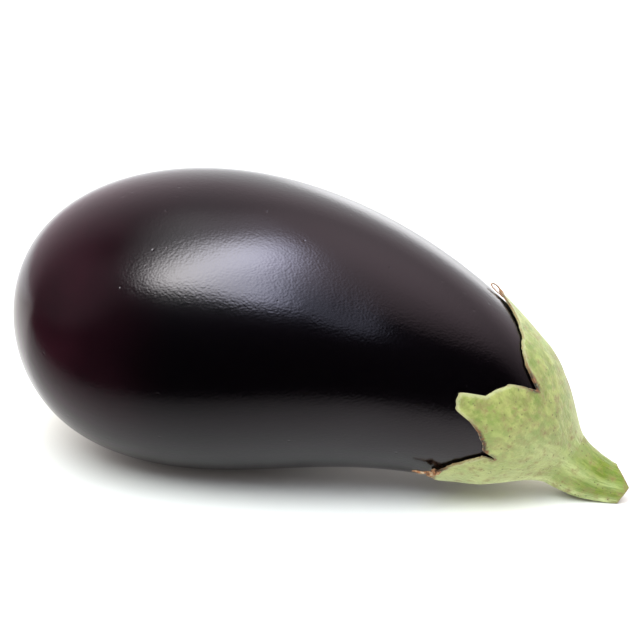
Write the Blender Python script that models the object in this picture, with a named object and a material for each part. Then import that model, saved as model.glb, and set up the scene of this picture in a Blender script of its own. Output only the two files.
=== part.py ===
"""An eggplant as picked, lying on its belly: the fruit, its five-lobed calyx and its cut stem.

Units are metres and +Z is up. +X runs along the fruit towards the stem, and -Y is its front.
The origin lies on the surface that the fruit rests on, under the middle of the bounding box.
The fruit is round in section about a centre line that leans over towards the stem.
"""

import math

import bmesh
import bpy
from mathutils import Matrix, Vector

# Fruit: a centre line that leans over, and a girth in terms of an angle that runs 0 to pi
FRUIT_LENGTH = 0.179       # along the centre line, blossom end to stem end
FRUIT_GIRTH = 0.0492       # scale of the radius; the belly comes out 95 mm across
BELLY_TERMS = (0.247, 0.112, -0.028, 0.022)  # cosine terms that put the weight near the blossom end
LEAN_START = math.radians(-12)  # the centre line climbs at the blossom end
LEAN_GAIN = math.radians(55)    # and has come down this far by the stem end
LEAN_POWER = 1.7
REST_DEPTH = 0.0009        # the belly is pressed flat by this much where it rests

# Calyx: a cap over the stem end, with lobes whose tips lie back along the fruit
CALYX_GAP = 0.0003
LOBE_THICK = 0.0012
SHOULDER_THICK = 0.0022
# (bearing in degrees from the top towards the front, station as a share of the fruit's length)
CALYX_EDGE = (
    (-55, 0.900), (-20, 0.792), (33, 0.901), (68, 0.808), (77, 0.818), (94, 0.905),
    (127, 0.832), (165, 0.900), (199, 0.800), (235, 0.900), (268, 0.808),
)

# Stem: a short peduncle that droops until its underside is just off the surface
STEM_START = (0.1684, 0.0182)  # its root: distance from the blossom end, height above the surface
STEM_LENGTH = 0.034
STEM_DROP = (math.radians(52), math.radians(2))  # its slope at the root and past the cut
STEM_RADII = (  # (share of the length, radius)
    (0.0, 0.0114), (0.27, 0.0090), (0.44, 0.0080), (0.59, 0.0071), (0.71, 0.0062), (1.0, 0.0050),
)
STEM_SWAY = 0.105          # it heads a little to the back, by this share of its way along X
STEM_CLEAR = 0.0002        # height of the stem's lowest point above the surface
COLLAR_AT = 0.27           # share of the stem's length where the calyx's collar hands over to it
# Two strokes of the shears, seen from the stem's root, that meet on a slanting ridge
SNIP_TOP = Vector((0.0232, 0, -0.0078))
SNIP_RIDGE = Vector((0.0262, 0, -0.0143))
SNIP_FOOT = Vector((0.0241, 0, -0.0177))
SNIP_SLANT = Vector((0.24, -0.90, 0.37))

# Mesh fineness
CENTRE_STEPS = 720
FRUIT_ROWS = 42
FRUIT_AROUND = 64
CALYX_AROUND = 90
CALYX_ROWS = 11
CALYX_INNER_ROWS = 7
STEM_ROWS = 14
STEM_AROUND = 28

FRONT = Vector((0, -1, 0))


def clear_scene():
    for old in list(bpy.data.objects):
        bpy.data.objects.remove(old, do_unlink=True)


def lean(station):
    """How far the centre line points down, at a share of the fruit's length."""
    return LEAN_START + LEAN_GAIN * station**LEAN_POWER


def girth(angle):
    """Radius of the fruit, with angle 0 at the blossom end and pi at the stem end."""
    swell = 1 + sum(term * math.cos((i + 1) * angle) for i, term in enumerate(BELLY_TERMS))
    return FRUIT_GIRTH * math.sin(angle) * swell


def angle_at(station):
    return math.acos(1 - 2 * station)


def centre_points():
    """The centre line at equal steps, found by walking along its lean."""
    points = [Vector((0, 0, 0))]
    step = FRUIT_LENGTH / CENTRE_STEPS
    for i in range(CENTRE_STEPS):
        slope = lean((i + 0.5) / CENTRE_STEPS)
        points.append(points[-1] + step * Vector((math.cos(slope), 0, -math.sin(slope))))
    return points


CENTRE = centre_points()


def centre_at(station):
    place = station * CENTRE_STEPS
    low = min(int(place), CENTRE_STEPS - 1)
    return CENTRE[low].lerp(CENTRE[low + 1], place - low)


def skin_point(angle, bearing, lift=0.0):
    """A point over the fruit's skin, lifted along the skin's normal."""
    station = (1 - math.cos(angle)) / 2
    slope = lean(station)
    along = Vector((math.cos(slope), 0, -math.sin(slope)))
    up = Vector((math.sin(slope), 0, math.cos(slope)))
    out = up * math.cos(bearing) + FRONT * math.sin(bearing)
    tiny = 1e-4
    rise = (girth(angle + tiny) - girth(angle - tiny)) / (2 * tiny)
    run = FRUIT_LENGTH * math.sin(angle) / 2
    normal = (out * run - along * rise).normalized()
    return centre_at(station) + out * girth(angle) + normal * lift


def grid_mesh(rings, first, last):
    """A closed mesh from rings of points with a point at each end, facing out towards the last."""
    mesh = bmesh.new()
    start = mesh.verts.new(first)
    rows = [[mesh.verts.new(point) for point in ring] for ring in rings]
    end = mesh.verts.new(last)
    count = len(rows[0])
    for k in range(count):
        after = (k + 1) % count
        mesh.faces.new((start, rows[0][after], rows[0][k]))
        for near, far in zip(rows, rows[1:]):
            mesh.faces.new((near[k], near[after], far[after], far[k]))
        mesh.faces.new((end, rows[-1][k], rows[-1][after]))
    return mesh


def cut_flat(mesh, point, normal):
    """Take off what lies beyond a plane and close the cut with one flat face."""
    everything = mesh.verts[:] + mesh.edges[:] + mesh.faces[:]
    found = bmesh.ops.bisect_plane(
        mesh, geom=everything, plane_co=point, plane_no=normal, clear_outer=True, dist=1e-7
    )
    rim = [item for item in found["geom_cut"] if isinstance(item, bmesh.types.BMEdge)]
    bmesh.ops.contextual_create(mesh, geom=rim)
    bmesh.ops.recalc_face_normals(mesh, faces=mesh.faces)


def fruit_mesh():
    """The fruit, with its belly at z = 0 pressed flat."""
    angles = [math.pi * i / FRUIT_ROWS for i in range(1, FRUIT_ROWS)]
    bearings = [math.tau * k / FRUIT_AROUND for k in range(FRUIT_AROUND)]
    rings = [[skin_point(angle, bearing) for bearing in bearings] for angle in angles]
    mesh = grid_mesh(rings, CENTRE[0], CENTRE[-1])
    lowest = min(vert.co.z for vert in mesh.verts)
    foot = lowest + REST_DEPTH
    cut_flat(mesh, Vector((0, 0, foot)), Vector((0, 0, -1)))
    return mesh, foot


def calyx_edge(bearing_degrees):
    """Station of the calyx's edge: straight between each notch and each lobe tip."""
    first = CALYX_EDGE[0]
    knots = CALYX_EDGE + ((first[0] + 360, first[1]),)
    turned = (bearing_degrees - first[0]) % 360 + first[0]
    for (low, near), (high, far) in zip(knots, knots[1:]):
        if low <= turned <= high:
            return near + (far - near) * (turned - low) / (high - low)
    return first[1]


def stem_frame(share):
    """Centre, direction and upward side of the stem at a share of its length."""
    centre = Vector((STEM_START[0], 0, STEM_START[1]))
    steps = 60
    for i in range(round(share * steps)):
        slope = STEM_DROP[0] + (STEM_DROP[1] - STEM_DROP[0]) * (i + 0.5) / steps
        centre = centre + STEM_LENGTH / steps * Vector((math.cos(slope), 0, -math.sin(slope)))
    slope = STEM_DROP[0] + (STEM_DROP[1] - STEM_DROP[0]) * share
    along = Vector((math.cos(slope), 0, -math.sin(slope)))
    up = Vector((math.sin(slope), 0, math.cos(slope)))
    return centre, along, up


def stem_radius(share):
    for (low, near), (high, far) in zip(STEM_RADII, STEM_RADII[1:]):
        if share <= high:
            return near + (far - near) * (share - low) / (high - low)
    return STEM_RADII[-1][1]


def swayed(point):
    """The same point after the stem is swayed towards the back."""
    return point + Vector((0, STEM_SWAY * (point.x - STEM_START[0]), 0))


def stem_middle(share, foot):
    return swayed(stem_frame(share)[0] + Vector((0, 0, foot)))


def stem_point(share, bearing, foot):
    """A point on the stem, never lower than its clearance above the surface."""
    centre, along, up = stem_frame(share)
    out = up * math.cos(bearing) + FRONT * math.sin(bearing)
    point = swayed(centre + Vector((0, 0, foot)) + out * stem_radius(share))
    point.z = max(point.z, foot + STEM_CLEAR)
    return point


def smooth(x):
    x = min(max(x, 0), 1)
    return x * x * (3 - 2 * x)


def calyx_mesh(foot):
    """The cap: an inner skin that follows the fruit, and an outer one from the lobes to the collar."""
    bearings = [math.tau * k / CALYX_AROUND for k in range(CALYX_AROUND)]
    edges = [angle_at(calyx_edge(math.degrees(bearing))) for bearing in bearings]
    rings = []
    for i in range(1, CALYX_INNER_ROWS + 1):
        share = i / CALYX_INNER_ROWS
        rings.append([
            skin_point(math.pi + (edge - math.pi) * share, bearing, CALYX_GAP)
            for bearing, edge in zip(bearings, edges)
        ])
    for i in range(CALYX_ROWS):
        share = 1 - i / (CALYX_ROWS - 1)
        ring = []
        for bearing, edge in zip(bearings, edges):
            angle = math.pi + (edge - math.pi) * share
            thick = SHOULDER_THICK + (LOBE_THICK - SHOULDER_THICK) * share
            skin = skin_point(angle, bearing, CALYX_GAP + thick)
            collar = stem_point(COLLAR_AT, bearing, foot)
            ring.append(collar.lerp(skin, smooth(share / 0.45)))
        rings.append(ring)
    return grid_mesh(rings, skin_point(math.pi, 0, CALYX_GAP), stem_middle(COLLAR_AT, foot))


def stem_mesh(foot):
    """The stem above the collar, snipped off with two strokes of the shears."""
    start = COLLAR_AT + CALYX_GAP / STEM_LENGTH
    bearings = [math.tau * k / STEM_AROUND for k in range(STEM_AROUND)]
    shares = [start + (1 - start) * i / (STEM_ROWS - 1) for i in range(STEM_ROWS)]
    rings = [[stem_point(share, bearing, foot) for bearing in bearings] for share in shares]
    mesh = grid_mesh(rings, stem_middle(start, foot), stem_middle(1, foot))
    root = Vector((STEM_START[0], 0, STEM_START[1] + foot))
    for high, low in ((SNIP_TOP, SNIP_RIDGE), (SNIP_RIDGE, SNIP_FOOT)):
        cut_flat(mesh, swayed(root + high), SNIP_SLANT.cross(low - high))
    return mesh


def paint(obj, name, colour, roughness):
    material = bpy.data.materials.new(name)
    material.use_nodes = True
    shader = material.node_tree.nodes["Principled BSDF"]
    shader.inputs["Base Color"].default_value = (*colour, 1)
    shader.inputs["Roughness"].default_value = roughness
    material.diffuse_color = (*colour, 1)
    obj.data.materials.append(material)


def add_object(name, mesh, colour, roughness):
    data = bpy.data.meshes.new(name)
    mesh.to_mesh(data)
    mesh.free()
    data.shade_smooth()
    data.set_sharp_from_angle(angle=math.radians(40))
    obj = bpy.data.objects.new(name, data)
    bpy.context.scene.collection.objects.link(obj)
    paint(obj, name + "_skin", colour, roughness)
    return obj


def put_on_origin(objects, foot):
    """Set the belly's flat on z = 0 and the bounding box's middle on x = 0."""
    xs = [vert.co.x for obj in objects for vert in obj.data.vertices]
    middle = (min(xs) + max(xs)) / 2
    for obj in objects:
        obj.data.transform(Matrix.Translation((-middle, 0, -foot)))


def main():
    clear_scene()
    fruit, foot = fruit_mesh()
    objects = [
        add_object("fruit", fruit, (0.012, 0.005, 0.010), 0.22),
        add_object("calyx", calyx_mesh(foot), (0.42, 0.46, 0.18), 0.65),
        add_object("stem", stem_mesh(foot), (0.30, 0.42, 0.10), 0.60),
    ]
    put_on_origin(objects, foot)


main()
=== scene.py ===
# %% [markdown]
# # An eggplant, as picked
# This lesson builds the looks of a globe eggplant that lies on its belly: the glossy
# purple-black fruit, the leathery five-lobed calyx that caps its stem end, and the short
# green stem that the shears cut off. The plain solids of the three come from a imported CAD
# model. They are measured here, and finer pieces then stand in for them.

# %% Load the CAD model
import math

import bpy
import numpy as np
from mathutils import Matrix, Vector, noise


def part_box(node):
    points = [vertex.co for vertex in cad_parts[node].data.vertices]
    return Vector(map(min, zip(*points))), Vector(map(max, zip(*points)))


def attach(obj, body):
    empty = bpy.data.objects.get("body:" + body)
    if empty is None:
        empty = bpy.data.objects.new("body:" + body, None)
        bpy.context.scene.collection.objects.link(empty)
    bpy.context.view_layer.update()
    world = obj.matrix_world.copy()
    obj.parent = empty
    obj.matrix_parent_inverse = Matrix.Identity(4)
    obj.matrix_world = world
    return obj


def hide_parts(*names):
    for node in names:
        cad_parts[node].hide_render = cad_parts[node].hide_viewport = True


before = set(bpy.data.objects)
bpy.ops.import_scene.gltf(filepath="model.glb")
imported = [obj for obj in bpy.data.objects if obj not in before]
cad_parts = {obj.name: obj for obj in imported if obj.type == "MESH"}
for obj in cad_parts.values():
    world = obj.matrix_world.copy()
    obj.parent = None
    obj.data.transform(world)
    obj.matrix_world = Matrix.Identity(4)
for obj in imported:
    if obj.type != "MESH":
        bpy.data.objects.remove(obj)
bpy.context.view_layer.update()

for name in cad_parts:
    low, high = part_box(name)
    print(name, [round(1000 * side, 1) for side in high - low], "mm")

# %% [markdown]
# ## Helpers
# Every piece here is a grid of points, rolled up into a closed skin. Two helpers carry that:
# one turns rows of points into a mesh, and one adds a node to a material with its settings
# and links. Points are kept as numpy arrays, so that one line of arithmetic moves them all.

# %% Helpers for shapes
MM = 0.001  # one millimetre, in the scene's metres
FRONT = np.array([0.0, -1.0, 0.0])
SEED_STEP = (7.3, 3.1, 5.7)  # how far apart two seeds read the same noise
NOISE_FALL, NOISE_FINER = 1.0, 2.0  # each octave is half as strong as the last, and twice as fine


def smooth(x):
    """Goes from 0 to 1 with no kink at either end."""
    x = np.clip(x, 0, 1)
    return x * x * (3 - 2 * x)


def bell(x):
    """A rounded hump, 1 high and about 2 wide."""
    return np.exp(-x * x)


def unit(vectors):
    return vectors / np.linalg.norm(vectors, axis=-1, keepdims=True)


def rough(points, size, seed, octaves=2):
    """Smooth noise, from about -1 to 1, at points in metres, in patches of a size in mm."""
    shift = Vector([seed * step for step in SEED_STEP])
    flat = points.reshape(-1, 3) / (size * MM)
    values = [noise.fractal(Vector(p) + shift, NOISE_FALL, NOISE_FINER, octaves) for p in flat]
    return np.array(values).reshape(points.shape[:-1])


# %% Helpers for meshes and materials
def skin_mesh(name, rows, first, last, attributes=None):
    """A closed mesh from rows of points that run along a piece, with one point at each end.

    Each attribute is one number or vector for every point, which its material can read.
    """
    count, around = rows.shape[:2]
    points = np.concatenate([[first], rows.reshape(-1, 3), [last]])
    index = 1 + np.arange(count * around).reshape(count, around)
    after = np.roll(index, -1, axis=1)
    quads = np.stack([index[:-1], after[:-1], after[1:], index[1:]], -1).reshape(-1, 4)
    end = len(points) - 1
    fans = [(0, after[0, k], index[0, k]) for k in range(around)]
    fans += [(end, index[-1, k], after[-1, k]) for k in range(around)]
    mesh = bpy.data.meshes.new(name)
    mesh.from_pydata(points.tolist(), [], quads.tolist() + fans)
    for label, values in (attributes or {}).items():
        kind = "FLOAT_VECTOR" if values.ndim == 3 else "FLOAT"
        layer = mesh.attributes.new(label, kind, "POINT")
        flat = values.reshape(count * around, -1)
        flat = np.concatenate([flat[:around].mean(0)[None], flat, flat[-around:].mean(0)[None]])
        layer.data.foreach_set("vector" if values.ndim == 3 else "value", flat.ravel())
    mesh.shade_smooth()
    piece = bpy.data.objects.new(name, mesh)
    bpy.context.scene.collection.objects.link(piece)
    print(name, len(mesh.polygons), "faces")
    return piece


def linear(hex_colour):
    """An sRGB hex colour as the linear values that a shader works in."""
    shares = [int(hex_colour[i:i + 2], 16) / 255 for i in (1, 3, 5)]
    curve = [s / 12.92 if s <= 0.04045 else ((s + 0.055) / 1.055) ** 2.4 for s in shares]
    return (*curve, 1)


def add(tree, kind, inputs=None, stops=None, **settings):
    """A node with its settings. An input is a value, a hex colour, or a socket to link.

    Stops are the places and hex colours of a colour ramp.
    """
    made = tree.nodes.new("ShaderNode" + kind)
    for label, value in settings.items():
        setattr(made, label, value)
    for i, (place, colour) in enumerate(stops or ()):
        ramp = made.color_ramp.elements
        stop = ramp[i] if i < len(ramp) else ramp.new(place)
        stop.position = place
        stop.color = linear(colour)
    for socket, value in (inputs or {}).items():
        if isinstance(value, bpy.types.NodeSocket):
            tree.links.new(value, made.inputs[socket])
        else:
            made.inputs[socket].default_value = linear(value) if isinstance(value, str) else value
    mixes_colours = kind == "Mix" and made.data_type == "RGBA"
    return made.outputs[2 if mixes_colours else 0]


def new_material(name):
    material = bpy.data.materials.new(name)
    material.use_nodes = True
    tree = material.node_tree
    return material, tree, tree.nodes["Principled BSDF"]


def pattern_scale(size):
    """The scale that makes a texture's features a size in mm."""
    return 1 / (size * MM)


# %% [markdown]
# ## The camera
# A 100 mm lens from about half a metre is how small produce is usually taken. It looks down
# by 22 degrees and from 15 degrees to the right of the fruit's front, so the stem points a
# little towards the lens.

# %% The camera
VIEW_TARGET = Vector((0.0002, 0, 0.0499))
VIEW_DISTANCE = 0.5513
VIEW_TURN, VIEW_RISE = math.radians(15), math.radians(22)

back = Vector((
    math.sin(VIEW_TURN) * math.cos(VIEW_RISE),
    -math.cos(VIEW_TURN) * math.cos(VIEW_RISE),
    math.sin(VIEW_RISE),
))
lens = bpy.data.cameras.new("camera")
lens.lens = 100
lens.sensor_width = 36
camera = bpy.data.objects.new("camera", lens)
camera.location = VIEW_TARGET + VIEW_DISTANCE * back
camera.rotation_euler = back.to_track_quat("Z", "Y").to_euler()
bpy.context.scene.collection.objects.link(camera)
bpy.context.scene.camera = camera
bpy.context.scene.view_settings.view_transform = "Standard"
print("camera at", [round(value, 3) for value in camera.location])

# %% [markdown]
# ## The studio
# A skin as glossy as this shows its surroundings more than itself, so the light is built as
# a small set. A softbox hangs over the front and makes the one broad highlight. Its lamp sits
# off the middle, one corner is folded back, and its cloth glows faintly well past the lamp.
# White surroundings behind give the pale rim along the top. The room in front is dark, and a
# black sheet on the table, a painted dark reflection, keeps the pale floor out of the middle of
# the skin, while a white card behind, a painted bright reflection, lights the rim. Both show
# only in reflections, so the floor itself stays plain.


# %% The floor, the black sheet and the white card
def flat_square(name, half_x, half_y):
    mesh = bpy.data.meshes.new(name)
    signs = ((-1, -1), (1, -1), (1, 1), (-1, 1))
    corners = [(x * half_x, y * half_y, 0) for x, y in signs]
    mesh.from_pydata(corners, [], [(0, 1, 2, 3)])
    square = bpy.data.objects.new(name, mesh)
    bpy.context.scene.collection.objects.link(square)
    return square


FLOOR_HALF = 4
SHEET_LIFT = 0.4 * MM  # the sheet and the card lie this far above the floor

floor = flat_square("floor", FLOOR_HALF, FLOOR_HALF)
painted, tree, shader = new_material("painted_board_matt")
shader.inputs["Base Color"].default_value = linear("#e6e5dd")
shader.inputs["Roughness"].default_value = 0.7
shader.inputs["Specular IOR Level"].default_value = 0.3
floor.data.materials.append(painted)

SHEET_NEAR, SHEET_FAR = 0.002, 0.108  # how far in front it starts to show, and is full black
SHEET_ASKEW = 0.2  # it lies closer at the left, by this share of the way along X
# A painted dark reflection: the sheet shows only in the skin's gloss, where it darkens the
# reflected floor.
sheet = flat_square("black_sheet", FLOOR_HALF, FLOOR_HALF / 2)
sheet.location = (0, -FLOOR_HALF / 2, SHEET_LIFT)
felt, tree, shader = new_material("black_sheet_painted_reflection")
shader.inputs["Base Color"].default_value = (0, 0, 0, 1)
shader.inputs["Roughness"].default_value = 1
shader.inputs["Specular IOR Level"].default_value = 0
place = add(tree, "SeparateXYZ", {0: add(tree, "NewGeometry")}).node
askew = add(tree, "Math", {0: place.outputs["X"], 1: SHEET_ASKEW, 2: place.outputs["Y"]},
            operation="MULTIPLY_ADD")
cover = add(tree, "MapRange", {"Value": askew, "From Min": -SHEET_NEAR, "From Max": -SHEET_FAR})
tree.links.new(cover, shader.inputs["Alpha"])
sheet.data.materials.append(felt)

CARD_NEAR, CARD_FAR, CARD_POWER = 0.10, 0.22, 1.7  # behind: where it starts, is full, how bright
# A painted bright reflection: the card glows only in the skin's gloss, and lights nothing else.
card = flat_square("white_card", FLOOR_HALF, FLOOR_HALF / 2)
card.location = (0, FLOOR_HALF / 2, SHEET_LIFT)
paper, tree, shader = new_material("white_card_painted_reflection")
shader.inputs["Base Color"].default_value = (0, 0, 0, 1)
shader.inputs["Specular IOR Level"].default_value = 0
shader.inputs["Emission Color"].default_value = linear("#fcfdff")
shader.inputs["Emission Strength"].default_value = CARD_POWER
place = add(tree, "SeparateXYZ", {0: add(tree, "NewGeometry")}).node
cover = add(tree, "MapRange", {
    "Value": place.outputs["Y"], "From Min": CARD_NEAR, "From Max": CARD_FAR,
})
tree.links.new(cover, shader.inputs["Alpha"])
card.data.materials.append(paper)
for thing in (sheet, card):
    for kind in ("camera", "diffuse", "transmission", "volume_scatter", "shadow"):
        setattr(thing, "visible_" + kind, False)

# %% The softbox
SOFTBOX_AT = Vector((-0.102, -0.239, 0.545))
SOFTBOX_BACK = Vector((-0.05, -0.50, 0.86)).normalized()
SOFTBOX_HALF = (0.45, 0.80)
LAMP_POWER, CLOTH_GLOW = 14.0, 1.3
# Each edge: how much X and Y count, then where the light has fallen to nothing, and is full.
LAMP_EDGES = (
    (1, 0, -0.270, -0.140), (1, 0, 0.280, 0.120), (0.23, 1, -0.320, -0.190),
    (0, 1, 0.410, 0.050), (0.81, -0.584, -0.165, 0.025),
)
CLOTH_EDGES = (
    (1, 0, -0.380, -0.100), (1, 0.35, 0.400, 0.280), (0.23, 1, -0.320, -0.190),
    (0, 1, 0.750, 0.150),
)
SHADE = (0.06, 0.27, 0.62)  # the lamp is dimmer by X - Y, from here, to here, down to this share
COOLER = (-0.1, 0.2)  # and its light turns bluish along X, from here to here

softbox = flat_square("softbox", *SOFTBOX_HALF)
across = Vector((0, 1, 0)).cross(SOFTBOX_BACK).normalized()
facing = Matrix((across, SOFTBOX_BACK.cross(across), SOFTBOX_BACK)).transposed()
softbox.matrix_world = Matrix.Translation(SOFTBOX_AT) @ facing.to_4x4()
cloth, tree, _ = new_material("diffuser_nylon_lit")
place = add(tree, "SeparateXYZ", {0: add(tree, "TexCoord").node.outputs["Object"]}).node


def lit_inside(power, edges):
    """The power, faded to nothing across each edge."""
    for x_share, y_share, dark_at, full_at in edges:
        part = add(tree, "Math", {0: place.outputs["X"], 1: x_share}, operation="MULTIPLY")
        way = add(tree, "Math", {0: place.outputs["Y"], 1: y_share, 2: part},
                  operation="MULTIPLY_ADD")
        inside = add(tree, "MapRange", {"Value": way, "From Min": dark_at, "From Max": full_at},
                     interpolation_type="SMOOTHSTEP")
        power = add(tree, "Math", {0: inside, 1: power}, operation="MULTIPLY")
    return power


aslant = add(tree, "Math", {0: place.outputs["X"], 1: place.outputs["Y"]}, operation="SUBTRACT")
shaded = add(tree, "MapRange", {
    "Value": aslant, "From Min": SHADE[0], "From Max": SHADE[1],
    "To Min": LAMP_POWER, "To Max": LAMP_POWER * SHADE[2],
}, interpolation_type="SMOOTHSTEP")
power = add(tree, "Math", {
    0: lit_inside(shaded, LAMP_EDGES), 1: lit_inside(CLOTH_GLOW, CLOTH_EDGES),
}, operation="ADD")
cooler = add(tree, "MapRange", {
    "Value": place.outputs["X"], "From Min": COOLER[0], "From Max": COOLER[1],
})
tint = add(tree, "Mix", {0: cooler, 6: "#f7fffb", 7: "#d9e6ff"}, data_type="RGBA")
glow = add(tree, "Emission", {"Strength": power, "Color": tint})
# The cloth also lets through what is behind it, or its unlit parts would show as a dark band.
glow = add(tree, "AddShader", {0: glow, 1: add(tree, "BsdfTransparent")})
tree.links.new(glow, tree.nodes["Material Output"].inputs["Surface"])
softbox.data.materials.append(cloth)
softbox.visible_camera = False

# %% The white surroundings
BEHIND = (-0.15, 0.90, 1.30)  # white starts at this share towards +Y, is full at this, this bright
OVERHEAD = (0.80, 1.05, 1.2)  # and the ceiling, by the share upwards and a little to the right
OVERHEAD_TILT = 0.35
WINDOW = (-0.84, -0.39, 0.375)  # the way to a dim window at the left
WINDOW_GLOW = (0.88, 0.98, 0.22)  # seen from this nearness to that way, full at this, this bright
BACKLIGHT = (0.05, 0.995, 0.08)  # the way to a brighter part of the wall behind
BACKLIGHT_GLOW = (0.955, 0.99, 1.6)
FILL = 0.65  # soft light from all round, too even to show in the gloss
SEEN = 1.3  # and how bright the background is where the floor ends
NEUTRAL = (0.75, 0.97)  # the light turns from pinkish to white by the share towards +Y
FILL_NEUTRAL = 0.5  # and the soft light is white by this much all round

world = bpy.data.worlds.new("studio")
bpy.context.scene.world = world
world.use_nodes = True
tree = world.node_tree
looking = add(tree, "TexCoord").node.outputs["Generated"]
way = add(tree, "SeparateXYZ", {0: looking}).node
walls = add(tree, "MapRange", {
    "Value": way.outputs["Y"], "From Min": BEHIND[0], "From Max": BEHIND[1], "To Max": BEHIND[2],
})
upwards = add(tree, "Math", {0: way.outputs["X"], 1: OVERHEAD_TILT, 2: way.outputs["Z"]},
              operation="MULTIPLY_ADD")
ceiling = add(tree, "MapRange", {
    "Value": upwards, "From Min": OVERHEAD[0], "From Max": OVERHEAD[1], "To Max": OVERHEAD[2],
})
mirrored = add(tree, "Math", {0: walls, 1: ceiling}, operation="ADD")
for towards, (starts, full, bright) in ((WINDOW, WINDOW_GLOW), (BACKLIGHT, BACKLIGHT_GLOW)):
    near = add(tree, "VectorMath", {0: looking, 1: towards}, operation="DOT_PRODUCT").node
    patch = add(tree, "MapRange", {
        "Value": near.outputs["Value"], "From Min": starts, "From Max": full, "To Max": bright,
    }, interpolation_type="SMOOTHSTEP")
    mirrored = add(tree, "Math", {0: mirrored, 1: patch}, operation="ADD")
filled = add(tree, "Math", {0: mirrored, 1: FILL}, operation="ADD")
ray = add(tree, "LightPath").node.outputs
lit = add(tree, "Mix", {0: ray["Is Glossy Ray"], 2: filled, 3: mirrored}, data_type="FLOAT")
strength = add(tree, "Mix", {0: ray["Is Camera Ray"], 2: lit, 3: SEEN}, data_type="FLOAT")
tree.links.new(strength, tree.nodes["Background"].inputs["Strength"])
backwards = add(tree, "MapRange", {
    "Value": way.outputs["Y"], "From Min": NEUTRAL[0], "From Max": NEUTRAL[1],
})
unseen = add(tree, "Math", {0: ray["Is Glossy Ray"], 1: -FILL_NEUTRAL, 2: FILL_NEUTRAL},
             operation="MULTIPLY_ADD")
white = add(tree, "Math", {0: backwards, 1: unseen}, operation="MAXIMUM")
tint = add(tree, "Mix", {0: white, 6: "#ffeef5", 7: "#fcfdff"}, data_type="RGBA")
tree.links.new(tint, tree.nodes["Background"].inputs["Color"])
print("studio: softbox", round(1000 * SOFTBOX_AT.length), "mm away")

# %% [markdown]
# ## The fruit
# An eggplant is a berry, round in section about a centre line that bends over towards the
# stem, and fattest near the blossom end. One formula gives its skin: a lean that grows along
# the centre line, and a girth made of a sine and a few cosines. A sculpted blob would never
# sit right in its solid, and the formula also places the calyx, which follows the skin.

# %% The fruit's formula
FRUIT_LENGTH = 0.179
FRUIT_GIRTH = 0.0492
BELLY_TERMS = (0.247, 0.112, -0.028, 0.022)
LEAN_START, LEAN_GAIN, LEAN_POWER = math.radians(-12), math.radians(55), 1.7
REST_DEPTH = 0.0009
CENTRE_STEPS = 720


def lean(station):
    """How far the centre line points down, at a share of the fruit's length."""
    return LEAN_START + LEAN_GAIN * station**LEAN_POWER


def girth(angle):
    """Radius of the fruit, with angle 0 at the blossom end and pi at the stem end."""
    swell = 1 + sum(term * np.cos((i + 1) * angle) for i, term in enumerate(BELLY_TERMS))
    return FRUIT_GIRTH * np.sin(angle) * swell


def angle_at(station):
    return np.arccos(1 - 2 * np.asarray(station))


def directions(slope):
    """Which way is along, and which way is up, at a slope of a centre line."""
    along = np.stack([np.cos(slope), 0 * slope, -np.sin(slope)], -1)
    up = np.stack([np.sin(slope), 0 * slope, np.cos(slope)], -1)
    return along, up


middles = (np.arange(CENTRE_STEPS) + 0.5) / CENTRE_STEPS
steps = FRUIT_LENGTH / CENTRE_STEPS * directions(lean(middles))[0]
CENTRE = np.concatenate([[[0, 0, 0]], np.cumsum(steps, axis=0)])


def skin_point(angle, bearing, lift=0.0):
    """Points over the fruit's skin, lifted along its normal, and that normal.

    A bearing runs from the top towards the front and on round, in radians.
    """
    angle, bearing, lift = np.broadcast_arrays(angle, bearing, lift)
    station = (1 - np.cos(angle)) / 2
    along, up = directions(lean(station))
    out = up * np.cos(bearing)[..., None] + FRONT * np.sin(bearing)[..., None]
    tiny = 1e-4
    rise = (girth(angle + tiny) - girth(angle - tiny)) / (2 * tiny)
    run = FRUIT_LENGTH * np.sin(angle) / 2
    normal = unit(out * run[..., None] - along * rise[..., None])
    places = np.linspace(0, 1, CENTRE_STEPS + 1)
    centre = np.stack([np.interp(station, places, CENTRE[:, i]) for i in range(3)], -1)
    return centre + out * girth(angle)[..., None] + normal * lift[..., None], normal


# %% Put the fruit on the floor
FRUIT_ROWS, FRUIT_AROUND = 260, 360

angles = (np.pi * np.arange(1, FRUIT_ROWS) / FRUIT_ROWS)[:, None]
bearings = (math.tau * np.arange(FRUIT_AROUND) / FRUIT_AROUND)[None]
plain, normals = skin_point(angles, bearings)
FOOT = plain[..., 2].min() + REST_DEPTH
ORIGIN = np.array([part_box("fruit")[0].x - plain[..., 0].min(), 0, -FOOT])
print("blossom end at", [round(1000 * value, 1) for value in ORIGIN], "mm")

# %% [markdown]
# No fruit is a perfect solid of revolution. The skin is a little flatter in broad strips
# along its length, with a few shallow dents where it lay against leaves and other fruit.
# They only ever go inwards, so the fruit stays inside its solid. At the blossom end the
# petals left a corky scar in a dimple.

# %% The fruit's mesh
STRIP_DEPTH = 0.18 * MM
DENTS = (  # station, bearing in degrees, width and depth in mm
    (0.16, 62, 16, 0.45), (0.40, 20, 22, 0.30), (0.62, 52, 20, 0.35), (0.70, 110, 18, 0.25),
    (0.35, 215, 24, 0.40), (0.55, 290, 20, 0.35), (0.22, 320, 18, 0.30),
)
DIMPLE_WIDTH, DIMPLE_DEPTH = 9 * MM, 1.1 * MM
PUCKERS, PUCKER_SHARE = 11, 0.25  # the dimple's folds, as a share of its depth
STRIPS = ((5, 0.8, 0.3), (3, 2.1, 0.2))  # how many go round, turned by how much, and their share

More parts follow.
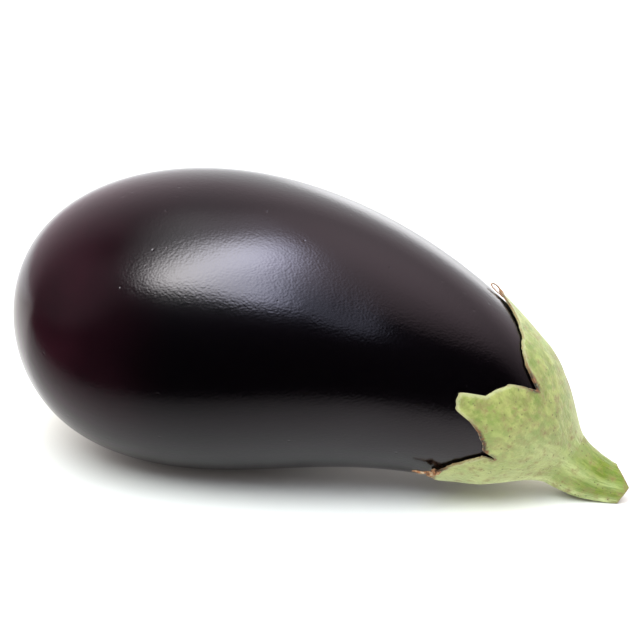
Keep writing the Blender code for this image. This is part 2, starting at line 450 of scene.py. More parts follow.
from_blossom = np.linalg.norm(plain - CENTRE[0], axis=-1)
strips = sum((share * np.cos(count * bearings + turn) for count, turn, share in STRIPS), 0.5)
sunk = STRIP_DEPTH * strips * np.sin(angles)
for station, bearing, width, depth in DENTS:
    spot, _ = skin_point(angle_at(station), math.radians(bearing))
    sunk = sunk + depth * MM * bell(np.linalg.norm(plain - spot, axis=-1) / (width * MM / 2))
folds = PUCKER_SHARE * np.cos(PUCKERS * bearings)
pucker = 1 + folds * bell((from_blossom - DIMPLE_WIDTH / 2) / DIMPLE_WIDTH)
sunk = sunk + DIMPLE_DEPTH * pucker * bell(from_blossom / (DIMPLE_WIDTH / 2))
skin = plain - normals * sunk[..., None] + ORIGIN
skin[..., 2] = np.maximum(skin[..., 2], 0)
first = CENTRE[0] + ORIGIN + directions(lean(0 * middles[:1]))[0][0] * DIMPLE_DEPTH
last = CENTRE[-1] + ORIGIN
fruit = skin_mesh("fruit_skin", skin, first, last, {"from_blossom": from_blossom})

# %% [markdown]
# ### The skin's finish
# The skin is a thin layer of purple-black cells under a waxy cuticle that shines like
# varnish. Almost no light comes back from the colour, so what the eye reads is the gloss: a
# tight, bright highlight whose edge breaks up over a fine orange-peel, with waves one or two
# millimetres across. Near the blossom end the colour thins and turns reddish. Small pits and
# pale specks of dust keep it from looking like plastic.

# %% The skin's colour
THIN_FROM, THIN_TO = -30 * MM, -85 * MM  # along X, towards the blossom end
DUST_RARE = 0.62  # this share of the cells has no speck

waxed, tree, shader = new_material("eggplant_skin_waxy")
here = add(tree, "TexCoord").node.outputs["Object"]
place = add(tree, "SeparateXYZ", {0: here}).node
cloudy = add(tree, "TexNoise", {"Vector": here, "Scale": pattern_scale(22), "Detail": 3.0})
thin = add(tree, "MapRange", {
    "Value": place.outputs["X"], "From Min": THIN_FROM, "From Max": THIN_TO,
}, interpolation_type="SMOOTHSTEP")
reddish = add(tree, "Math", {0: thin, 1: cloudy, 2: 0.0}, operation="MULTIPLY")
deep = add(tree, "Mix", {0: reddish, 6: "#020102", 7: "#2d0f18"}, data_type="RGBA")
# One speck of dust in a cell of 9 mm, and most of the cells are then passed over.
grains = add(tree, "TexVoronoi", {"Vector": here, "Scale": pattern_scale(9.0)}).node
dot = add(tree, "MapRange", {
    "Value": grains.outputs["Distance"], "From Min": 0.034, "From Max": 0.014,
})
rare = add(tree, "SeparateColor", {0: grains.outputs["Color"]}).node
chosen = add(tree, "Math", {0: rare.outputs[0], 1: DUST_RARE}, operation="GREATER_THAN")
speck = add(tree, "Math", {0: dot, 1: chosen}, operation="MULTIPLY")
specked = add(tree, "Mix", {0: speck, 6: deep, 7: "#4a4246"}, data_type="RGBA")
cork_edge = add(tree, "TexNoise", {"Vector": here, "Scale": pattern_scale(2.5), "Detail": 4.0})
scar_at = add(tree, "Attribute", attribute_name="from_blossom").node.outputs["Fac"]
ragged = add(tree, "Math", {0: cork_edge, 1: 4 * MM, 2: scar_at}, operation="MULTIPLY_ADD")
scar = add(tree, "MapRange", {"Value": ragged, "From Min": 6.3 * MM, "From Max": 5.2 * MM})
scarred = add(tree, "Mix", {0: scar, 6: specked, 7: "#7a5a3c"}, data_type="RGBA")
tree.links.new(scarred, shader.inputs["Base Color"])

# %% The skin's gloss and grain
grained = add(tree, "Mapping", {"Vector": here, "Scale": (0.8, 1, 1)})
waves = add(tree, "TexNoise", {"Vector": grained, "Scale": pattern_scale(2.0), "Detail": 1.0})
swollen = add(tree, "Bump", {"Height": waves, "Distance": 0.022 * MM})
# Real cells are a few hundredths of a millimetre. They are drawn coarser here, to be seen.
cells = add(tree, "TexNoise", {"Vector": grained, "Scale": pattern_scale(0.6), "Detail": 0.0})
peel = add(tree, "Bump", {"Height": cells, "Distance": 0.028 * MM, "Normal": swollen})
pits = add(tree, "TexVoronoi", {"Vector": here, "Scale": pattern_scale(7.0)}).node
hole = add(tree, "MapRange", {
    "Value": pits.outputs["Distance"], "From Min": 0.0, "From Max": 0.09,
}, interpolation_type="SMOOTHSTEP")
shallow = add(tree, "Bump", {"Height": hole, "Distance": 0.10 * MM, "Normal": peel})
tree.links.new(shallow, shader.inputs["Normal"])
shine = add(tree, "MapRange", {"Value": cloudy, "To Min": 0.16, "To Max": 0.22})
dull = add(tree, "Mix", {0: scar, 2: shine, 3: 0.8}, data_type="FLOAT")
tree.links.new(dull, shader.inputs["Roughness"])
shader.inputs["IOR"].default_value = 1.5
shader.inputs["Specular Tint"].default_value = linear("#fff3f9")
fruit.data.materials.append(waxed)

# %% The fruit's place
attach(fruit, "root")
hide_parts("fruit")

# %% [markdown]
# ## The stem's formula
# The stem is a peduncle that droops from the fruit's end until its underside is just off
# the floor. The calyx grows out of it, so the stem's formula comes first: a centre line, a
# radius that tapers, and ribs that run on from the middle of each lobe.

# %% The stem's formula
STEM_START = (0.1684, 0.0182)
STEM_LENGTH = 0.034
STEM_DROP = (math.radians(52), math.radians(2))
STEM_STEPS = 400
STEM_RADII = (  # share of its length, and radius
    (0, 0.0114), (0.27, 0.0090), (0.44, 0.0080), (0.59, 0.0071), (0.71, 0.0062), (1, 0.0050),
)
STEM_SWAY = 0.105  # it heads a little to the back, by this share of its way along X
STEM_CLEAR = 0.2 * MM  # nothing of it comes closer to the floor
COLLAR_AT = 0.27  # the share of its length where it comes out of the calyx
LOBE_AT = (-20, 70, 127, 199, 268)  # bearing of each lobe's middle, in degrees
RIB_HEIGHTS = (0.35, 0.25, 0.75, 0.4, 0.4)  # mm; the lower front rib is the strongest
RIB_PALE = 0.5 * MM  # a rib this high has lost all its green along its crest
UNDER_AT, UNDER_WIDE = 146, 13  # and a band along the underside is painted paler, as painted bounce light from the floor; in degrees
UNDER_PAINTED_LIGHT = 0.9  # by this share
RIBS_BACK, RIBS_OUT = (30 * MM, 12 * MM), (30 * MM, 22 * MM)  # where they end, and how softly
RIB_WIDE, RIB_WIDENS, RIB_OVER = 11, 4, 20 * MM  # degrees, degrees more, over this much stem


def stem_frame(share):
    """Centre, direction and upward side of the stem at shares of its length."""
    fine = np.linspace(0, 1, STEM_STEPS + 1)
    slope = STEM_DROP[0] + (STEM_DROP[1] - STEM_DROP[0]) * fine
    along, _ = directions(slope)
    walked = np.cumsum((along[1:] + along[:-1]) / 2, axis=0) * STEM_LENGTH / STEM_STEPS
    walked = np.concatenate([[[0, 0, 0]], walked]) + [STEM_START[0], 0, STEM_START[1] + FOOT]
    centre = np.stack([np.interp(share, fine, walked[:, i]) for i in range(3)], -1)
    return centre, *directions(np.interp(share, fine, slope))


def swayed(points):
    aside = STEM_SWAY * (points[..., :1] - STEM_START[0])
    return points + aside * [0, 1, 0]


def stem_point(share, bearing):
    """Points on the stem before its ribs, and the way out from its middle."""
    share, bearing = np.broadcast_arrays(share, bearing)
    centre, _, up = stem_frame(share)
    out = up * np.cos(bearing)[..., None] + FRONT * np.sin(bearing)[..., None]
    knots, radii = zip(*STEM_RADII)
    return swayed(centre + out * np.interp(share, knots, radii)[..., None]), out


def turn_between(bearing, middle):
    """How far a bearing is from another, in degrees, the short way round."""
    return (np.degrees(bearing) - middle + 180) % 360 - 180


def ribs(bearing, along):
    """Height of the ribs, by bearing and by distance from the collar towards the lobes."""
    fade = smooth((along + RIBS_BACK[0]) / RIBS_BACK[1])
    fade = fade * smooth((RIBS_OUT[0] - along) / RIBS_OUT[1])
    wide = RIB_WIDE + RIB_WIDENS * smooth(-along / RIB_OVER)
    height = sum(
        tall * MM * bell(turn_between(bearing, middle) / wide)
        for middle, tall in zip(LOBE_AT, RIB_HEIGHTS)
    )
    return height * fade


def crest_pale_and_painted_underside(bearing, along):
    """How pale the crests of the ribs are, with a painted lighter band of bounce light along the
    underside.
    """
    crest = ribs(bearing, along) / RIB_PALE
    under = UNDER_PAINTED_LIGHT * bell(turn_between(bearing, UNDER_AT) / UNDER_WIDE)
    return np.clip(crest + under, 0, 1)


print("collar", round(2000 * np.interp(COLLAR_AT, *zip(*STEM_RADII)), 1), "mm across")

# %% [markdown]
# ## The calyx
# The calyx is the flower's green cup, which grew leathery and split into five lobes as the
# fruit swelled. Its edge is torn and dry, its lobes have begun to curl off the skin, and its
# fibres fan out from the stem. It is made on a polar grid: each bearing has its own edge, and
# rows run from the middle of the inside out to the edge, over it, and back to the collar.

# %% The edge of the lobes
# (bearing in degrees from the top towards the front, station, how far the edge is lifted in mm,
# and how brown and corky it has dried)
EDGE = (
    (-55, 0.900, 0.4, 0.6), (-38, 0.846, 0.4, 0.4), (-26, 0.802, 0.4, 0.5), (-20, 0.788, 0.5, 1.0),
    (-13, 0.801, 0.35, 0.7), (-5, 0.819, 0.3, 0.4), (6, 0.840, 0.1, 0.3), (19, 0.855, 0.1, 0.3),
    (27, 0.870, 0.2, 0.5), (31, 0.887, 0.4, 0.9), (34, 0.902, 0.3, 1.0), (38, 0.890, 0.2, 0.7),
    (45, 0.864, 0.3, 0.3), (53, 0.853, 0.3, 0.15), (60, 0.842, 0.3, 0.1),
    (66.5, 0.806, 0.35, 0.15), (71, 0.807, 0.4, 0.3), (75.5, 0.812, 0.4, 0.2),
    (78, 0.842, 0.4, 0.5), (82, 0.864, 0.35, 0.9), (87, 0.878, 0.3, 1.0), (92.0, 0.890, 0.35, 1.0),
    (93.3, 0.912, 0.4, 0.8), (95, 0.917, 0.4, 0.6), (96, 0.896, 0.4, 0.3), (104, 0.877, 0.4, 0.4),
    (115, 0.859, 0.4, 0.5), (121, 0.849, 0.6, 0.9), (125, 0.840, 0.9, 1.0), (130, 0.842, 0.8, 1.0),
    (138, 0.849, 0.6, 0.7), (147, 0.861, 0.4, 0.4), (156, 0.890, 0.3, 0.3), (165, 0.902, 0.3, 0.5),
    (180, 0.850, 0.3, 0.3), (192, 0.812, 0.4, 0.5), (199, 0.801, 0.5, 1.0), (207, 0.822, 0.4, 0.6),
    (222, 0.868, 0.4, 0.3), (235, 0.902, 0.5, 0.8), (248, 0.856, 0.6, 0.4), (262, 0.816, 0.9, 0.6),
    (268, 0.807, 1.0, 1.0), (275, 0.824, 0.8, 0.6), (290, 0.866, 0.5, 0.3), (305, 0.900, 0.4, 0.6),
)
CALYX_AROUND = 480
CALYX_RADIUS = 0.028
TEAR = 0.0030  # how deep the edge is torn, as a share of the fruit's length

calyx_bearings = (math.tau * np.arange(CALYX_AROUND) / CALYX_AROUND)[None]
turned = (np.degrees(calyx_bearings) - EDGE[0][0]) % 360 + EDGE[0][0]
knots = [row[0] for row in EDGE]
edge_station = np.interp(turned, knots, [row[1] for row in EDGE])
edge_lift = np.interp(turned, knots, [row[2] for row in EDGE]) * MM
edge_dry = np.interp(turned, knots, [row[3] for row in EDGE])
circle = np.stack([np.cos(calyx_bearings), np.sin(calyx_bearings), 0 * calyx_bearings], -1)
torn = rough(circle * CALYX_RADIUS, 3.5, 1, 4) + 0.5 * rough(circle * CALYX_RADIUS, 0.9, 2, 2)
edge_angle = angle_at(edge_station + TEAR * torn)
print("edge torn by", round(1000 * FRUIT_LENGTH * TEAR * torn.std(), 2), "mm")

# %% The calyx's two skins
CALYX_GAP = 0.2 * MM
INNER_ROWS, OUTER_ROWS = 26, 92
INNER_CROWD, OUTER_CROWD = 1.6, 1.35  # above 1, the rows crowd together towards the edge
CURL_WIDTH = 8 * MM  # the lobes lift off over this much of their edge
EDGE_ROUND, EDGE_BLUNT = 0.45 * MM, 0.02  # how far in the edge is rounded, and how blunt it ends
EDGE_REACH = 1 * MM  # a point takes its lift and dryness from about this much of the edge
FILLET_END = 0.50  # the calyx has left the stem by this share of the way out
ROOT_SHARE = 0.34  # the stem's foot spreads over this much of the fruit's end

inner_share = (1 - (1 - np.arange(1, INNER_ROWS + 1) / INNER_ROWS) ** INNER_CROWD)[:, None]
outer_share = (1 - (np.arange(OUTER_ROWS) / (OUTER_ROWS - 1)) ** OUTER_CROWD)[:, None]
rim, _ = skin_point(edge_angle[0], calyx_bearings[0], CALYX_GAP)


def from_rim(points):
    """Distance from each point to the nearest bit of the edge, and its lift and dryness."""
    away, lift, dry = [], [], []
    for row in points:
        gaps = np.linalg.norm(row[:, None] - rim[None], axis=-1)
        away.append(gaps.min(1))
        weight = np.exp(-(gaps - gaps.min(1, keepdims=True)) / EDGE_REACH)
        lift.append((weight * edge_lift).sum(1) / weight.sum(1))
        dry.append((weight * edge_dry).sum(1) / weight.sum(1))
    return np.array(away), np.array(lift), np.array(dry)


def calyx_base(share):
    angle = np.pi + (edge_angle - np.pi) * share
    base, normal = skin_point(angle, calyx_bearings, CALYX_GAP)
    away, lift, dry = from_rim(base)
    curl = lift * np.clip(1 - away / CURL_WIDTH, 0, 1) ** 2
    return base + normal * curl[..., None], normal, away, dry


inner, _, inner_away, inner_dry = calyx_base(inner_share)
spread = ROOT_SHARE + (1 - ROOT_SHARE) * outer_share
base, normal, outer_away, outer_dry = calyx_base(spread)
print("calyx", round(1000 * outer_away.max(), 1), "mm from edge to collar")

# %% The calyx's outside
LOBE_THICK, SHOULDER_THICK = 0.65 * MM, 1.8 * MM
SHOULDER_FROM = 22 * MM  # it is as thick as the shoulder from here inwards
FILLET_FOOT = 0.8  # the fillet uses up this share of the stem's hidden foot
FIBRE_RING = 9 * MM  # the ring that the fibres' bearings are laid out on
# Height and size in mm, scale along the fibres, where less than 1 makes them longer, and seed.
WRINKLES = ((0.10, 1.3, 0.16, 3), (0.16, 4, 0.5, 4))
RELIEF_FROM = 2 * MM  # the relief is full from this far inside the edge

rounding = np.sqrt(1 - (1 - np.clip(outer_away / EDGE_ROUND + EDGE_BLUNT, 0, 1)) ** 2)
thick = LOBE_THICK + (SHOULDER_THICK - LOBE_THICK) * smooth(outer_away / SHOULDER_FROM)
out_skin = base + normal * (thick * rounding)[..., None]
leave = np.clip(outer_share / FILLET_END, 0, 1)
stem_part, stem_out = stem_point(COLLAR_AT * (1 - FILLET_FOOT * leave), calyx_bearings)
blend = smooth(leave)[..., None]
outer = stem_part + (out_skin - stem_part) * blend
way_out = unit(stem_out + (normal - stem_out) * blend)
walk = np.linalg.norm(np.diff(outer[::-1], axis=0), axis=-1)
along = np.concatenate([0 * walk[:1], np.cumsum(walk, axis=0)])[::-1]


def fibre_place(bearing, along):
    """Where a point is in the grain of the flesh, which runs along the stem and fans out."""
    bearing, along = np.broadcast_arrays(bearing, along)
    return np.stack([FIBRE_RING * np.cos(bearing), FIBRE_RING * np.sin(bearing), along], -1)


def flesh_relief(place, bearing, along):
    """Height of the ribs and wrinkles that the calyx and the stem share."""
    wrinkles = sum(
        high * MM * rough(place * [1, 1, scale], size, seed)
        for high, size, scale, seed in WRINKLES
    )
    return ribs(bearing, along) + wrinkles


fibres = fibre_place(calyx_bearings, along)
relief = flesh_relief(fibres, calyx_bearings, along) * smooth(outer_away / RELIEF_FROM)
outer = outer + way_out * relief[..., None]

# %% The calyx's mesh
SCUFF_AT, SCUFF_WIDE = -13, 10  # degrees: where the upper lobe was rubbed
SCUFF_FROM, SCUFF_TO = 9 * MM, 32 * MM  # and how far from the collar
SCUFF_FADES = (4 * MM, 6 * MM)

scuffed = bell(turn_between(calyx_bearings, SCUFF_AT) / SCUFF_WIDE)
scuffed = scuffed * smooth((along - SCUFF_FROM) / SCUFF_FADES[0])
scuffed = scuffed * smooth((SCUFF_TO - along) / SCUFF_FADES[1])
# the calyx's rib values: pale crests, and painted bounce light along the underside
pale_crests_and_painted_underside = crest_pale_and_painted_underside(calyx_bearings, along)
inner_fibres = fibre_place(calyx_bearings, along[:1] + 0 * inner_away)
rows = np.concatenate([inner, outer]) + ORIGIN
rows[..., 2] = np.maximum(rows[..., 2], STEM_CLEAR)
margin = np.concatenate([inner_away, outer_away])
inside = np.concatenate([0 * inner_away + 1, 0 * outer_away])
first = skin_point(np.array(np.pi), np.array(0.0), CALYX_GAP)[0] + ORIGIN
last = swayed(stem_frame(np.array(COLLAR_AT))[0]) + ORIGIN
calyx = skin_mesh("calyx_cap", rows, first, last, {
    "fibres": np.concatenate([inner_fibres, fibres]), "margin": margin, "inside": inside,
    "dryness": np.concatenate([inner_dry, outer_dry]),
    "rib": np.concatenate([0 * inner_away, pale_crests_and_painted_underside]),
    "scuff": np.concatenate([0 * inner_away, scuffed]),
})
calyx.data.set_sharp_from_angle(angle=math.radians(60))  # or the torn edge is shaded round

# %% [markdown]
# ## The stem
# One stroke of the shears from each side left a blunt, slanted end. Each bearing's row of
# points stops where it meets the cut, and rings then close over the cut face, so the face
# has its own grain: a green rind, a paler ring of vessels and a dry pith.

# %% The stem's cut
STEM_AROUND, STEM_ROWS, CUT_RINGS = 200, 110, 22
SNIP_TOP = np.array([0.0232, 0, -0.0078])
SNIP_RIDGE = np.array([0.0262, 0, -0.0143])
SNIP_FOOT = np.array([0.0241, 0, -0.0177])
SNIP_SLANT = np.array([0.24, -0.90, 0.37])
CUT_BACK = 0.06 * MM  # it stays this far inside the plain solid's cut

root = np.array([STEM_START[0] - CUT_BACK, 0, STEM_START[1] + FOOT])
planes = [
    (swayed(root + high), unit(np.cross(SNIP_SLANT, low - high)))
    for high, low in ((SNIP_TOP, SNIP_RIDGE), (SNIP_RIDGE, SNIP_FOOT))
]


def past_cut(points):
    """How far points lie beyond the cut."""
    return np.maximum(*[(points - on) @ normal for on, normal in planes])


stem_bearings = (math.tau * np.arange(STEM_AROUND) / STEM_AROUND)[None]
tries = np.linspace(COLLAR_AT, 1, STEM_STEPS)[:, None]
beyond = past_cut(stem_point(tries, stem_bearings)[0]) > 0
cut_share = tries[np.where(beyond.any(0), beyond.argmax(0), STEM_STEPS - 1), 0][None]
print("cut from", round(cut_share.min(), 2), "to", round(cut_share.max(), 2), "of the stem")

# %% The stem's mesh
START = COLLAR_AT + 0.02 * MM / STEM_LENGTH  # a gap too fine to see
STEM_DRYNESS = 0.35
FACE_TILT = 0.12  # radians: the face is flattened along a line a little steeper than the stem
FACE_ALONG = -0.03  # where the face's grain is read, along the fibres

run = (np.arange(STEM_ROWS) / (STEM_ROWS - 1))[:, None]
share = START + (cut_share - START) * run
side, side_out = stem_point(share, stem_bearings)
side_along = -(share - COLLAR_AT) * STEM_LENGTH
side_fibres = fibre_place(stem_bearings, side_along)
side = side + side_out * flesh_relief(side_fibres, stem_bearings, side_along)[..., None]
# and the stem's: pale crests, and painted bounce light along the underside
side_pale_and_painted_underside = crest_pale_and_painted_underside(stem_bearings, side_along)
to_cut = (cut_share - share) * STEM_LENGTH

AXIS = directions(np.array(STEM_DROP[1] + FACE_TILT))[0]
inwards = (1 - np.arange(1, CUT_RINGS) / CUT_RINGS)[:, None, None]
heart = side[-1].mean(0)
caps = heart + (side[-1] - heart) * inwards
for on, flat in planes:
    over = np.maximum((caps - on) @ flat, 0)
    caps = caps - AXIS * (over / (AXIS @ flat))[..., None]
stem_rows = np.concatenate([side, caps]) + ORIGIN
stem_rows[..., 2] = np.maximum(stem_rows[..., 2], STEM_CLEAR)
depth = np.concatenate([0 * to_cut, (1 - inwards[..., 0]) + 0 * caps[..., 0]])
to_cut = np.concatenate([to_cut, 0 * caps[..., 0]])
face_fibres = fibre_place(stem_bearings, FACE_ALONG + 0 * caps[..., 0])
first = swayed(stem_frame(np.array(START))[0]) + ORIGIN
last = caps[-1].mean(0) + ORIGIN
stem = skin_mesh("stem_cut", stem_rows, first, last, {
    "fibres": np.concatenate([side_fibres, face_fibres]), "margin": to_cut,
    "cut_depth": depth, "dryness": STEM_DRYNESS + 0 * depth,
    "rib": np.concatenate([side_pale_and_painted_underside, 0 * caps[..., 0]]),
})
stem.data.set_sharp_from_angle(angle=math.radians(50))  # and so is the rim of the cut

# %% [markdown]
# ### The finish of calyx and stem
# Calyx and stem are one flesh, so one function makes both materials, and the colour changes
# along them: pale, felted grey-green over the lobes and a fresh, shinier green on the stem,
# where the felt is worn off. The felt is a mat of fine star-shaped hairs, which the eye reads
# as a matt, mottled surface with small brown scars. Where the edge tore it dried to brown
# cork. The patterns come first, then the colours that are laid over each other by them.

# %% The flesh's patterns
# What the two meshes carry for each point. One that a mesh doesn't carry is read as 0.
FLESH_READS = ("fibres", "rib", "scuff", "inside", "dryness", "margin", "cut_depth")
# Each noise: its size in mm and its detail, where it is drawn, its scale along Z, where less
# than 1 draws it longer, and its shift.
FLESH_NOISE = (
    ("wandering", 6, 4, "here", 1, (0, 0, 0)), ("streaky", 1, 4, "fibres", 0.2, (0, 0, 0)),
    ("blotchy", 3.5, 5, "here", 1, (0, 0, 0)), ("lush", 8, 5, "here", 0.7, (0, 0, 0)),
    ("sandy", 2.6, 5, "here", 1, (0.3, 0.1, 0.2)), ("scattered", 5, 4, "here", 1, (0, 0, 0)),
    ("frayed", 1.4, 4, "here", 1, (0, 0, 0)), ("crumbly", 1.2, 4, "here", 1, (0, 0, 0)),
    ("felted", 0.8, 3, "here", 1, (0, 0, 0)),
)
# Each sum: a pattern, what it is multiplied by, and what is added. Lengths are in metres.
FLESH_SUMS = (
    ("wander", "wandering", 0.014, "along"), ("dry_fray", "frayed", "dryness", 0.0),
    ("worn", "dry_fray", -0.0028, "margin"), ("ragged", "frayed", -0.0016, "margin"),
)
REACH = (-0.004, 0.014)  # the stem's green gives way to the lobes' over this distance
SCAR_SPACING = 1.5  # mm


def flesh_patterns(tree):
    """Every pattern and measure that the flesh's colour goes by, under its own name."""
    made = {"here": add(tree, "TexCoord").node.outputs["Object"]}
    for label in FLESH_READS:
        read = add(tree, "Attribute", attribute_name=label).node
        made[label] = read.outputs["Vector" if label == "fibres" else "Fac"]
    made["along"] = add(tree, "SeparateXYZ", {0: made["fibres"]}).node.outputs["Z"]
    made["height"] = add(tree, "SeparateXYZ", {0: made["here"]}).node.outputs["Z"]
    for label, size, detail, space, scale, shift in FLESH_NOISE:
        drawn = add(tree, "Mapping", {
            "Vector": made[space], "Scale": (1, 1, scale), "Location": shift,
        })
        made[label] = add(tree, "TexNoise", {
            "Vector": drawn, "Scale": pattern_scale(size), "Detail": detail, "Roughness": 0.6,
        })
    scars = add(tree, "TexVoronoi", {"Vector": made["here"], "Scale": pattern_scale(SCAR_SPACING)})
    made["scar"] = scars.node.outputs["Distance"]
    for label, *terms in FLESH_SUMS:
        terms = {i: made.get(term, term) for i, term in enumerate(terms)}
        made[label] = add(tree, "Math", terms, operation="MULTIPLY_ADD")
    made["reach"] = add(tree, "MapRange", {
        "Value": made["wander"], "From Min": REACH[0], "From Max": REACH[1],
    })
    return made


# %% The flesh's colours
# Each ramp: what it follows, and its colours. Reach runs from the stem out to the lobes.
FLESH_RAMPS = (
    ("ground", "reach", ((0, "#57690a"), (0.30, "#5b7014"), (0.65, "#69742e"), (1, "#6e7535"))),
    ("pale", "reach", ((0, "#70811c"), (0.6, "#8f9950"), (1, "#939a52"))),
    ("cut", "cut_depth", (
        (0, "#363b13"), (0.12, "#4f5620"), (0.35, "#7b7f43"), (0.6, "#5f612e"), (1, "#8d8a5b"),
    )),
)
# Each layer: what it makes, from which colour, with which on top, how much of it at most, and
# where. It fades in from the first number to the second of every pattern that is named.
FLESH_LAYERS = (
    # green, paler in streaks and fresher in patches
    ("flesh", "ground", "pale", 0.9, (("streaky", 0.40, 0.60),)),
    ("flesh", "flesh", "#5d7327", 0.7, (("blotchy", 0.49, 0.60),)),
    ("flesh", "flesh", "#6d8731", 0.4, (("lush", 0.52, 0.66),)),
    # the pale crests of the ribs, with painted bounce light along the underside
    ("flesh", "flesh", "#c4cc94", 0.75, (
        ("rib", 0, 1), ("streaky", 0.25, 0.55), ("along", -0.026, -0.017),
    )),
    # painted bounce light from the floor: the lobes are paler the lower they lie
    ("flesh", "flesh", "#abb37c", 0.55, (("height", 0.036, 0.012), ("reach", 0, 1))),
    # weathered patches, scars, the rubbed lobe and the inside
    ("flesh", "flesh", "#847a4b", 0.7, (("sandy", 0.48, 0.68),)),
    ("flesh", "flesh", "#6f5a30", 0.7, (("sandy", 0.60, 0.72),)),
    ("flesh", "flesh", "#514827", 0.8, (("scar", 0.22, 0.10), ("scattered", 0.45, 0.55))),
    ("flesh", "flesh", "#6d5337", 0.8, (("scuff", 0, 1), ("sandy", 0.35, 0.55))),
    ("flesh", "flesh", "#4f4b2b", 1, (("inside", 0, 1),)),
    # a line of pale hair along the edge, and the dry edge itself, straw or cork
    ("flesh", "flesh", "#b2b68b", "fuzz", (("ragged", 0.0004, -0.0004),)),
    ("straw", "#888357", "#786039", 1, (("frayed", 0.40, 0.62),)),
    ("cork", "#25160c", "#6c411d", 1, (("frayed", 0.42, 0.58),)),
    ("bark", "straw", "cork", 1, (("dryness", 0.35, 0.85),)),
    ("flesh", "flesh", "bark", 1, (("worn", 0.0003, -0.0005),)),
    # the cut face
    ("face", "cut", "#4e411f", 0.7, (("crumbly", 0.45, 0.65),)),
    ("flesh", "flesh", "face", 1, (("cut_depth", 0.0, 0.02),)),
)


# %% The flesh's finish
FELT_HIGH, GRAIN_HIGH = 0.24 * MM, 0.28 * MM
GREEN_GLOSS, FELT_GLOSS = 0.45, 0.75  # roughness at the stem, and out on the lobes
FELT_SHEEN = 0.9


def flesh(name, fuzz):
    """The flesh as a material. Fuzz is how much of the felt it has kept."""
    material, tree, shader = new_material(name)
    made = flesh_patterns(tree)
    made["fuzz"] = fuzz
    for label, follows, stops in FLESH_RAMPS:
        made[label] = add(tree, "ValToRGB", {0: made[follows]}, stops=stops)
    for label, under, over, most, fades in FLESH_LAYERS:
        cover = made.get(most, most)
        for pattern, starts, full in fades:
            cover = add(tree, "MapRange", {
                "Value": made[pattern], "From Min": starts, "From Max": full, "To Max": cover,
            })
        layers = {0: cover, 6: made.get(under, under), 7: made.get(over, over)}
        made[label] = add(tree, "Mix", layers, data_type="RGBA")
    tree.links.new(made["flesh"], shader.inputs["Base Color"])
    felt = add(tree, "Bump", {"Height": made["felted"], "Distance": FELT_HIGH})
    grain = add(tree, "Bump", {"Height": made["streaky"], "Distance": GRAIN_HIGH, "Normal": felt})
    tree.links.new(grain, shader.inputs["Normal"])
    gloss = add(tree, "MapRange", {
        "Value": made["reach"], "To Min": GREEN_GLOSS, "To Max": FELT_GLOSS,
    })
    tree.links.new(gloss, shader.inputs["Roughness"])
    shader.inputs["Specular IOR Level"].default_value = 0.35
    shader.inputs["Sheen Weight"].default_value = FELT_SHEEN * fuzz
    shader.inputs["Sheen Tint"].default_value = linear("#e6ecc8")
    print(name, len(tree.nodes), "nodes")
    return material


# %% The calyx's and the stem's place
calyx.data.materials.append(flesh("calyx_flesh_felted", 0.55))
stem.data.materials.append(flesh("stem_flesh_cut", 0.0))
for piece, node, finish in ((calyx, "calyx", "calyx_skin"), (stem, "stem", "stem_skin")):
    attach(piece, "root")
    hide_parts(node)

# %% [markdown]
# ## The dry tips
# The tip of each lobe ends in a thread that died first. At the front it is a ribbon that
# twisted into a small knot, and on top a thin loop like wire. Each is a closed strand: a flat
# section carried along a bent path over the skin, which turns as it goes.

# %% A strand
STRAND_AROUND, STRAND_ROWS = 14, 150
EVENINGS = 40  # how many times the path's bends are evened out
STRAND_ROUGH = 0.10 * MM


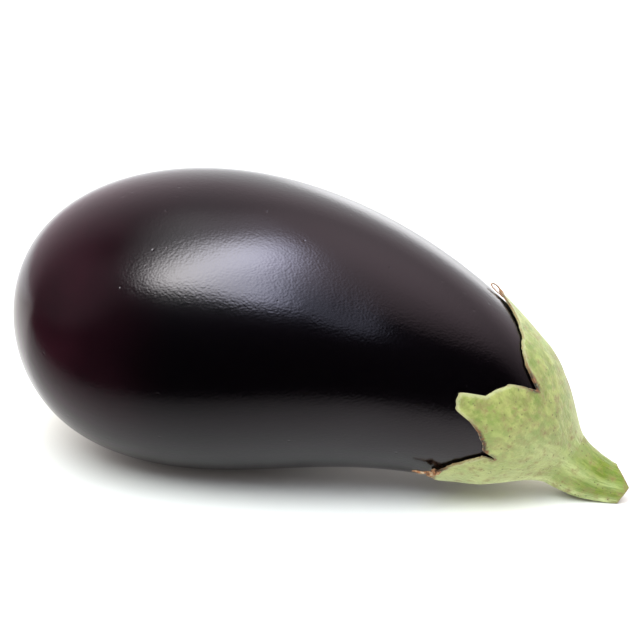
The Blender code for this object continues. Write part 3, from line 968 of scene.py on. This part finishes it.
def strand(name, path, turns):
    """Path rows are station, bearing in degrees, then height, width and thickness in mm."""
    path = np.array(path)
    knots, fine = np.linspace(0, 1, len(path)), np.linspace(0, 1, STRAND_ROWS)
    station, bearing, height, width, thick = (np.interp(fine, knots, column) for column in path.T)
    line, normal = skin_point(angle_at(station), np.radians(bearing), height * MM)
    for _ in range(EVENINGS):
        line[1:-1] = (line[:-2] + 2 * line[1:-1] + line[2:]) / 4
    ahead = unit(np.gradient(line, axis=0))
    side = unit(np.cross(ahead, normal))
    over = np.cross(side, ahead)
    around = math.tau * np.arange(STRAND_AROUND) / STRAND_AROUND
    spin = math.tau * turns * fine[:, None]
    flat = np.cos(around) * width[:, None] / 2 * MM
    deep = np.sin(around) * thick[:, None] / 2 * MM
    x = flat * np.cos(spin) - deep * np.sin(spin)
    y = flat * np.sin(spin) + deep * np.cos(spin)
    rows = line[:, None] + side[:, None] * x[..., None] + over[:, None] * y[..., None]
    rows += over[:, None] * (STRAND_ROUGH * rough(rows, 0.9, 5))[..., None]
    rows = rows[:, ::-1] + ORIGIN
    rows[..., 2] = np.maximum(rows[..., 2], STEM_CLEAR)
    ends = line[0] - ahead[0] * 0.1 * MM + ORIGIN, line[-1] + ahead[-1] * 0.1 * MM + ORIGIN
    return skin_mesh(name, rows, *ends)


# %% The two strands
front_tip = strand("dry_tip_front", (
    (0.856, 124, 0.7, 2.2, 0.6), (0.848, 124, 1.1, 2.6, 0.6), (0.842, 123, 1.6, 2.2, 0.7),
    (0.836, 124, 2.4, 1.9, 0.8), (0.833, 127, 2.2, 1.6, 0.9), (0.838, 128, 1.6, 1.4, 0.9),
    (0.840, 125, 2.8, 1.3, 0.9), (0.835, 122, 2.6, 1.5, 0.9), (0.829, 124, 2.0, 1.3, 0.8),
    (0.823, 125, 2.2, 1.0, 0.7), (0.815, 125, 2.4, 0.9, 0.6), (0.808, 125, 2.2, 1.0, 0.6),
    (0.802, 125, 2.4, 0.5, 0.4),
), 1.6)
top_tip = strand("dry_tip_top", (
    (0.800, -19, 0.7, 2.0, 0.5), (0.794, -20, 0.9, 1.4, 0.5), (0.788, -21, 1.4, 0.7, 0.45),
    (0.782, -21, 1.7, 0.45, 0.4), (0.776, -19, 1.5, 0.4, 0.35), (0.774, -16, 1.0, 0.4, 0.35),
    (0.779, -14, 0.7, 0.4, 0.35), (0.788, -14, 0.6, 0.45, 0.35), (0.797, -14, 0.7, 0.5, 0.4),
), 1.2)

# %% The dry finish
husk, tree, shader = new_material("calyx_tip_dried_cork")
here = add(tree, "TexCoord").node.outputs["Object"]
mottle = add(tree, "TexNoise", {"Vector": here, "Scale": pattern_scale(1.3), "Detail": 4.0})
tones = add(tree, "ValToRGB", {0: mottle}, stops=(
    (0.32, "#3a2414"), (0.45, "#8a5c34"), (0.55, "#94795a"), (0.68, "#b3a284"),
))
tree.links.new(tones, shader.inputs["Base Color"])
shader.inputs["Roughness"].default_value = 0.8
ridges = add(tree, "Bump", {"Height": mottle, "Distance": 0.15 * MM})
tree.links.new(ridges, shader.inputs["Normal"])
for tip in (front_tip, top_tip):
    tip.data.materials.append(husk)
    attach(tip, "root")
    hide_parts("calyx")
